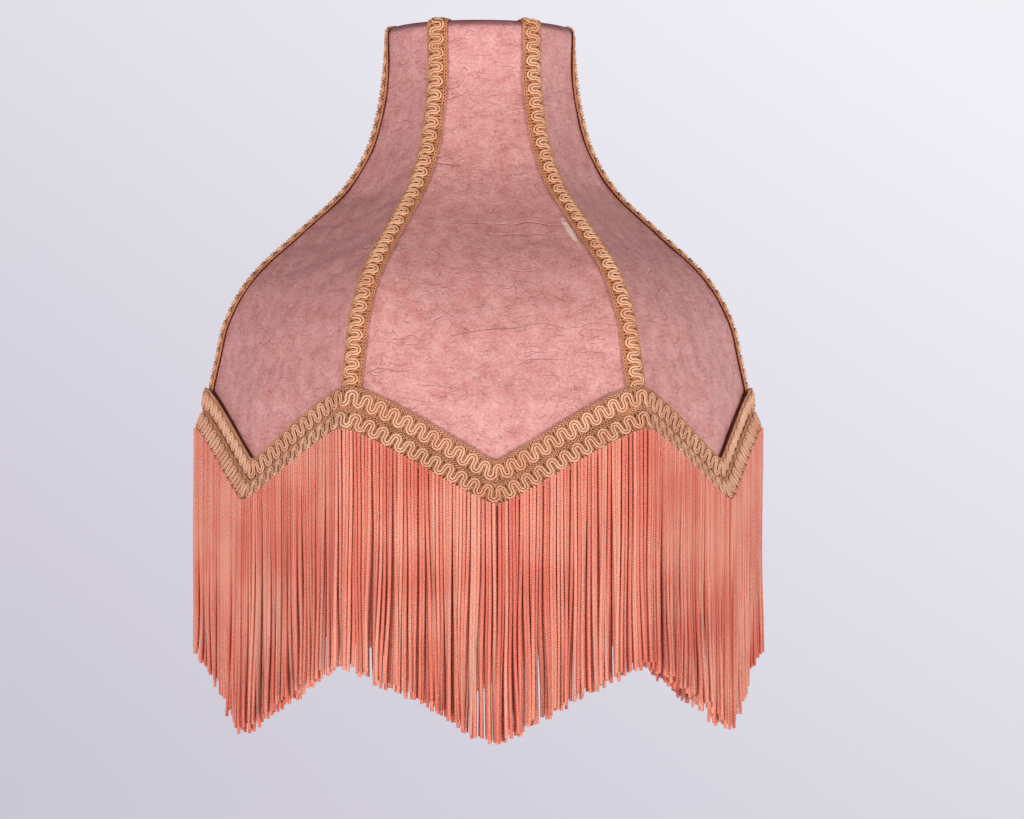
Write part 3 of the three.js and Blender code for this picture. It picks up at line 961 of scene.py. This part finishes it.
def hem_tape(down, offset):
    """Path of a row of hem gimp, once round from the back rib, which is joined there."""
    join_turn = BUTT_JOIN / HEM_RIB_RADIUS / 2
    start = FRONT + math.pi + HALF_SECTOR
    angle = start + np.linspace(join_turn, 2 * math.pi - join_turn, 720)
    from_middle = from_panel_middle(angle) * HEM_RIB_RADIUS
    from_rib = HALF_SECTOR * HEM_RIB_RADIUS - from_middle
    at_rib = np.exp(-(from_rib / CROSSING_WIDTH) ** 2)
    rise = CROSSING_RISE * at_rib * (down < 0)
    at_point = np.exp(-(from_middle / CROSSING_WIDTH) ** 2)
    down = down - math.copysign(CORNER_SQUEEZE, down) * (at_rib + 0.6 * at_point)
    points = off_hem(angle, down, offset + rise)
    lower = off_hem(angle, down + 1 * MM, offset + rise)
    tangent = unit(np.gradient(points, axis=0))
    out = unit(np.cross(tangent, points - lower))
    return points, out, 0 * out


for side in range(1, SIDES + 1):
    lay_tape(f"rib_scroll_gimp_{side}", *rib_tape(side), SCROLL_RIB, GROUND_RIB, SHADED_TAPE_RIB,
             [f"rib_gimp_{side}"])
upper = lay_tape("hem_scroll_gimp_upper", *hem_tape(UPPER_ROW_DOWN, UPPER_ROW_OFFSET),
                 SCROLL_HEM, GROUND_HEM, SHADED_TAPE_HEM, ["hem_gimp_upper"], HEM_PADDING)
lower = lay_tape("hem_scroll_gimp_lower", *hem_tape(LOWER_ROW_DOWN, LOWER_ROW_OFFSET),
                 SCROLL_HEM, GROUND_HEM, SHADED_TAPE_HEM, ["hem_gimp_lower"], HEM_PADDING)
print("hem rows have", len(upper.data.polygons), "and", len(lower.data.polygons), "faces")

# %% [markdown]
# ## Fringe
# The fringe is bought by the metre: chainette cords, looped and chained into a heading braid. The braid
# is glued under the lower gimp, and the cords hang plumb from it in three layers.
#
# The tree makes one straight cord, copies it once for each place along the root path, and looks that
# place up on the path. Then it lets each cord wander: cords drift together in small bunches towards
# their ends, sway by a slow noise, and are cut a little unevenly. Each of the twelve straight sides of
# the hem is a piece of its own, since each swings on its own hinge.

# %% Fringe tree
CORD_STEPS = 18
BUNCH_SIZE = 5.0
BUNCH_MIDDLE = 2.2
LATE_BEND = 1.5
NOISE_PER_METRE = 34.0
NOISE_DOWN_CORD = 1.1
SHARED_SIDE, OWN_SIDE = 2.6, 0.55
SHARED_OUT, OWN_OUT = 2.0, 0.6


def fringe_tree():
    tree, given = new_tree("Hanging cords", {
        "Pitch": "Float", "Shift": "Float", "Radius": "Float", "Ragged": "Float", "Sway": "Float",
        "Bunch": "Float", "Seed": "Int", "Facets": "Int", "Material": "Material"})

    path = add_node(tree, "GeometryNodeMeshToCurve", {"Mesh": given["Geometry"]})
    path_length = add_node(tree, "GeometryNodeCurveLength", {"Curve": path})
    pitches = add_node(tree, "ShaderNodeMath", {0: path_length, 1: given["Pitch"]}, operation="DIVIDE")
    count = add_node(tree, "ShaderNodeMath", {0: pitches}, operation="ROUND")
    line = add_node(tree, "GeometryNodeCurvePrimitiveLine", {"End": (0, 0, -1)})
    points = add_node(tree, "GeometryNodeResampleCurve", {"Curve": line, "Count": CORD_STEPS})
    cords = add_node(tree, "GeometryNodeDuplicateElements", {"Geometry": points, "Amount": count},
                     domain="SPLINE")
    number = cords.outputs["Duplicate Index"]
    share = add_node(tree, "GeometryNodeSplineParameter").outputs["Factor"]

    shortest = add_node(tree, "ShaderNodeMath", {0: given["Ragged"], 1: -1.0}, operation="MULTIPLY")
    drawn = {}
    for name, low, high, offset in (
            ("jitter", 0.3, 0.7, 1), ("ragged", shortest, given["Ragged"], 2), ("edge", 0.0, 1.5, 3),
            ("side", -1.0, 1.0, 5), ("out", -1.0, 1.0, 6), ("tone", -0.5, 0.5, 7)):
        seed = add_node(tree, "ShaderNodeMath", {0: given["Seed"], 1: offset}, operation="ADD")
        drawn[name] = add_node(tree, "FunctionNodeRandomValue", {
            "Min": low, "Max": high, "ID": number, "Seed": seed}, data_type="FLOAT").outputs[1]

    jitter = add_node(tree, "ShaderNodeMath", {0: drawn["jitter"], 1: given["Shift"]}, operation="ADD")
    from_start = add_node(tree, "ShaderNodeMath", {0: number, 1: jitter}, operation="ADD")
    factor = add_node(tree, "ShaderNodeMath", {0: from_start, 1: count}, operation="DIVIDE")
    on_path = {}
    for name in ("out", "hang"):
        named = add_node(tree, "GeometryNodeInputNamedAttribute", {"Name": name},
                         data_type="FLOAT_VECTOR")
        on_path[name] = add_node(tree, "GeometryNodeSampleCurve", {
            "Curves": path, "Factor": factor, "Value": named}, mode="FACTOR", data_type="FLOAT_VECTOR")
    out, hang = on_path["out"], on_path["hang"]
    root = out.outputs["Position"]
    length = add_node(tree, "ShaderNodeVectorMath", {0: hang}, operation="LENGTH").outputs["Value"]
    own_length = add_node(tree, "ShaderNodeMath", {0: length, 1: drawn["ragged"]}, operation="ADD")
    down = add_node(tree, "ShaderNodeMath", {0: share, 1: own_length}, operation="MULTIPLY")
    hang_share = add_node(tree, "ShaderNodeMath", {0: down, 1: length}, operation="DIVIDE")

    near = add_node(tree, "ShaderNodeMath", {0: number, 1: drawn["edge"]}, operation="ADD")
    bunches = add_node(tree, "ShaderNodeMath", {0: near, 1: BUNCH_SIZE}, operation="DIVIDE")
    bunch = add_node(tree, "ShaderNodeMath", {0: bunches}, operation="FLOOR")
    seed = add_node(tree, "ShaderNodeMath", {0: given["Seed"], 1: 4}, operation="ADD")
    tightness = add_node(tree, "FunctionNodeRandomValue", {
        "Min": 0.0, "Max": given["Bunch"], "ID": bunch, "Seed": seed}, data_type="FLOAT").outputs[1]
    middle = add_node(tree, "ShaderNodeMath", {0: bunch, 1: BUNCH_SIZE, 2: BUNCH_MIDDLE},
                      operation="MULTIPLY_ADD")
    to_middle = add_node(tree, "ShaderNodeMath", {0: middle, 1: number}, operation="SUBTRACT")
    tight = add_node(tree, "ShaderNodeMath", {0: to_middle, 1: tightness}, operation="MULTIPLY")
    pull = add_node(tree, "ShaderNodeMath", {0: tight, 1: given["Pitch"]}, operation="MULTIPLY")

    spot = add_node(tree, "ShaderNodeVectorMath", {0: root, "Scale": NOISE_PER_METRE}, operation="SCALE")
    lower = add_node(tree, "ShaderNodeMath", {0: share, 1: NOISE_DOWN_CORD}, operation="MULTIPLY")
    drift = add_node(tree, "ShaderNodeCombineXYZ", {2: lower})
    spot = add_node(tree, "ShaderNodeVectorMath", {0: spot, 1: drift}, operation="ADD")
    slow = add_node(tree, "ShaderNodeTexNoise", {"Vector": spot, "Scale": 1.0, "Detail": 1.0})
    slow = add_node(tree, "ShaderNodeSeparateXYZ", {0: slow.outputs["Color"]}).outputs
    wander = []
    for noise_value, shared, own, own_share in ((slow[0], SHARED_SIDE, drawn["side"], OWN_SIDE),
                                                (slow[1], SHARED_OUT, drawn["out"], OWN_OUT)):
        centred = add_node(tree, "ShaderNodeMath", {0: noise_value, 1: 0.5}, operation="SUBTRACT")
        together = add_node(tree, "ShaderNodeMath", {0: centred, 1: shared}, operation="MULTIPLY")
        alone = add_node(tree, "ShaderNodeMath", {0: own, 1: own_share}, operation="MULTIPLY")
        both = add_node(tree, "ShaderNodeMath", {0: together, 1: alone}, operation="ADD")
        wander.append(both)

    late = add_node(tree, "ShaderNodeMath", {0: share, 1: LATE_BEND}, operation="POWER")
    swayed = add_node(tree, "ShaderNodeMath", {0: wander[0], 1: given["Sway"], 2: pull},
                      operation="MULTIPLY_ADD")
    sideways = add_node(tree, "ShaderNodeMath", {0: late, 1: swayed}, operation="MULTIPLY")
    late_out = add_node(tree, "ShaderNodeMath", {0: late, 1: wander[1]}, operation="MULTIPLY")
    outward = add_node(tree, "ShaderNodeMath", {0: late_out, 1: given["Sway"]}, operation="MULTIPLY")
    side = add_node(tree, "ShaderNodeVectorMath", {0: out, 1: (0, 0, 1)}, operation="CROSS_PRODUCT")
    placed = place_cords(tree, cords, root, ((side, sideways), (out, outward), (hang, hang_share)))
    toned = add_node(tree, "GeometryNodeStoreNamedAttribute", {
        "Geometry": placed, "Name": "tone", "Value": drawn["tone"]}, data_type="FLOAT", domain="POINT")
    end_tree(tree, given, toned)
    return tree


FRINGE_TREE = fringe_tree()
print("fringe tree has", len(FRINGE_TREE.nodes), "nodes")

# %% Heading and cords
HEADING_TOP = 0.6 * MM
HEADING_BOTTOM = 14 * MM
HEADING_OUTER = 4.6 * MM
HEADING_INNER = 3.6 * MM
ROOT_DOWN = 12.5 * MM
LAYER_OFFSETS = (13.6 * MM, 11.2 * MM, 8.8 * MM)
LAYER_SHIFTS = (0.0, 0.25, -0.25)
FRINGE_END_AT_RIBS = 169 * MM
FRINGE_END_AT_POINTS = 164 * MM
HINGE_DOWN = 19.3 * MM
HINGE_OUT = 12.4 * MM
CORDS = {"pitch": 2.6 * MM, "radius": 1.15 * MM, "ragged": 3.4 * MM, "sway": 4.6 * MM, "bunch": 0.32,
         "facets": 6}


def make_heading():
    join_turn = BUTT_JOIN / HEM_RIB_RADIUS / 2
    angle = FRONT + math.pi + HALF_SECTOR + np.linspace(join_turn, 2 * math.pi - join_turn, 481)[None, :]
    down = np.linspace(HEADING_TOP, HEADING_BOTTOM, 7)[:, None]
    faces = [off_hem(angle + 0 * down, down + 0 * angle, out) for out in (HEADING_OUTER, HEADING_INNER)]
    piece = shell("fringe_heading_braid", *faces, HEADING)
    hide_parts("fringe_heading")
    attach(piece, "shade")
    return piece


def cord_layer(start, layer, seed):
    """One layer of cords under one straight side of the hem."""
    edge = 0.4 * MM / HEM_RIB_RADIUS
    angle = start + np.linspace(edge, HALF_SECTOR - edge, 60)
    at_rib = from_panel_middle(angle) / HALF_SECTOR
    depth = soft_hem_depth(angle) + ROOT_DOWN
    roots = polar(hem_radius(angle) + LAYER_OFFSETS[layer], angle, depth)
    end = FRINGE_END_AT_POINTS + (FRINGE_END_AT_RIBS - FRINGE_END_AT_POINTS) * at_rib
    hang = np.zeros((len(angle), 3))
    hang[:, 2] = depth - (hem_depth(angle) + end)
    out = unit(np.cross(unit(np.gradient(roots, axis=0)), np.array([0, 0, 1.0])))
    return bake("cords", make_path(roots, out=out, hang=hang), FRINGE_TREE, seed=seed, material=FRINGE_CORD,
                shift=LAYER_SHIFTS[layer], **CORDS)


def make_fringe(side, half):
    start = FRONT + (side - 1) * SECTOR - (HALF_SECTOR if half == "left" else 0)
    seed = side * 20 + (10 if half == "left" else 0)
    parts = [cord_layer(start, layer, seed + layer) for layer in range(len(LAYER_OFFSETS))]
    piece = join(f"chainette_fringe_{side}_{half}", parts)
    body = f"fringe_{side}_{half}"
    ends = [polar(hem_radius(a) + HINGE_OUT, a, hem_depth(a) + HINGE_DOWN)
            for a in (start, start + HALF_SECTOR)]
    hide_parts(body)
    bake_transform(piece)
    return piece


make_heading()
fringes = [make_fringe(side, half) for side in range(1, SIDES + 1) for half in ("left", "right")]
print("fringe:", len(fringes), "sections of", len(fringes[0].data.polygons), "faces")

# %% [markdown]
# ## The cloth's flat sizes
# The six panels and their linings are sheets of cloth, cut flat before they were stretched over the
# frame. Their flat sizes come from the frame: a panel is as wide as its widest row, which follows the
# zigzag hem from rib to rib, and as long as the S-curve down its middle.

# %% Cloth facts


def cloth_facts(piece, middle, sides, top, bottom):
    """Width, length and area of the flat cut, measured along the smooth bell surface."""
    v = np.linspace(top, bottom, 80)[:, None]
    angle = middle + np.linspace(-HALF_SECTOR, HALF_SECTOR, 25)[None, :]
    grid = off_surface(angle, v * hem_depth(angle), 0)
    across = np.linalg.norm(np.diff(grid, axis=1), axis=2)
    down = np.linalg.norm(np.diff(grid, axis=0), axis=2)
    width = across.sum(1).max() - 2 * sides
    length = down.sum(0).max()
    area = float((across[:-1] * down[:, :-1]).sum())
    return (float(width), float(length)), area


for side in range(1, SIDES + 1):
    middle = FRONT + (side - 1) * SECTOR
    for piece, margin, top, bottom in ((panels[side], SEAM_HALF_GAP, 0, 1),
                                       (linings[side], LINING_SIDE_GAP, LINING_TOP, LINING_BOTTOM)):
        flat, area = cloth_facts(piece, middle, margin, top, bottom)
print(f"panels cut from {flat[0] / MM:.0f} by {flat[1] / MM:.0f} mm, area {area * 1e4:.0f} square cm")

# %% [markdown]
# ## Studio
# The shade hangs in the air, where its lamp would hold it. A pale floor with a wall that curves up from
# it all round gives a plain ground from every side. Floor and wall glow with their own painted light,
# brighter to one side and dimmer towards the ceiling, and large soft lights left and right of the camera
# light the upright faces more than the ones that look up.

# %% Floor and light
FLOOR_Z = -0.86
FLOOR_RADIUS = 2.9
COVE_RADIUS = 1.4
WALL_HEIGHT = 3.8
WALL_GLOW = 0.93


def cove_material():
    """A wall that glows with its own painted light, brighter to one side and dimmer towards the ceiling."""
    material, tree, shader = new_material("painted_studio_cove")
    place = add_node(tree, "ShaderNodeTexCoord").outputs["Object"]
    parts = add_node(tree, "ShaderNodeSeparateXYZ", {0: place})
    # Painted light: the wall's colour is brighter towards +x and higher up.
    sideways = add_node(tree, "ShaderNodeMath", {0: parts.outputs[0], 1: 0.26, 2: 0.52},
                        operation="MULTIPLY_ADD")
    painted_light_level = add_node(tree, "ShaderNodeMath", {0: parts.outputs[2], 1: 0.35, 2: sideways},
                     operation="MULTIPLY_ADD", use_clamp=True)
    colour = add_node(tree, "ShaderNodeMix", {"Factor": painted_light_level, 6: hex_colour("#CCC8D6"),
                                              7: hex_colour("#F6F5FB")}, data_type="RGBA")
    # Its glow, painted light too, dims towards the ceiling.
    height = add_node(tree, "ShaderNodeMapRange", {"Value": parts.outputs[2], "From Min": 0.6,
                                                   "From Max": 1.7, "To Min": WALL_GLOW, "To Max": 0.2})
    tree.links.new(colour.outputs[2], shader.inputs["Emission Color"])
    tree.links.new(height.outputs[0], shader.inputs["Emission Strength"])
    shader.inputs["Base Color"].default_value = hex_colour("#3A393E")
    shader.inputs["Roughness"].default_value = 0.9
    shader.inputs["Specular IOR Level"].default_value = 0.0
    return material


def make_studio():
    profile = [(0.0, 0.0), (FLOOR_RADIUS * 0.5, 0.0), (FLOOR_RADIUS, 0.0)]
    for step in range(1, 13):
        turn = step / 12 * math.pi / 2
        profile.append((FLOOR_RADIUS + COVE_RADIUS * math.sin(turn), COVE_RADIUS * (1 - math.cos(turn))))
    profile.append((FLOOR_RADIUS + COVE_RADIUS, WALL_HEIGHT))
    rings = 96
    angles = np.linspace(0, 2 * math.pi, rings, endpoint=False)
    vertices = [(r * math.cos(a), r * math.sin(a), FLOOR_Z + z) for a in angles for r, z in profile]
    points = len(profile)
    faces = [(i * points + j, i * points + j + 1, (i + 1) % rings * points + j + 1,
              (i + 1) % rings * points + j) for i in range(rings) for j in range(points - 1)]
    link_mesh("studio_cove", vertices, faces, cove_material())


def make_softbox(name, place, aim, size, power, colour):
    data = bpy.data.lights.new(name, "AREA")
    data.shape = "RECTANGLE"
    data.size, data.size_y = size
    data.energy = power
    data.color = hex_colour(colour)[:3]
    lamp = bpy.data.objects.new(name, data)
    bpy.context.scene.collection.objects.link(lamp)
    lamp.location = place
    lamp.rotation_euler = (Vector(aim) - Vector(place)).to_track_quat("-Z", "Y").to_euler()


def make_world():
    world = bpy.data.worlds.new("studio_ceiling")
    bpy.context.scene.world = world
    world.use_nodes = True
    tree = world.node_tree
    tree.nodes.clear()
    sky = add_node(tree, "ShaderNodeBackground", {"Color": hex_colour("#D8D6E2"), "Strength": 0.05})
    add_node(tree, "ShaderNodeOutputWorld", {"Surface": sky})


make_studio()
make_world()
make_softbox("left_softbox", (-1.7, -2.2, -0.62), (0, 0, -0.22), (1.0, 1.2), 60, "#FFFAF6")
make_softbox("right_softbox", (1.7, -2.2, -0.62), (0, 0, -0.22), (1.0, 1.2), 49, "#FFFAF6")
bpy.context.scene.view_settings.view_transform = "Standard"
print("studio: cove, 2 softboxes and a dim ceiling")
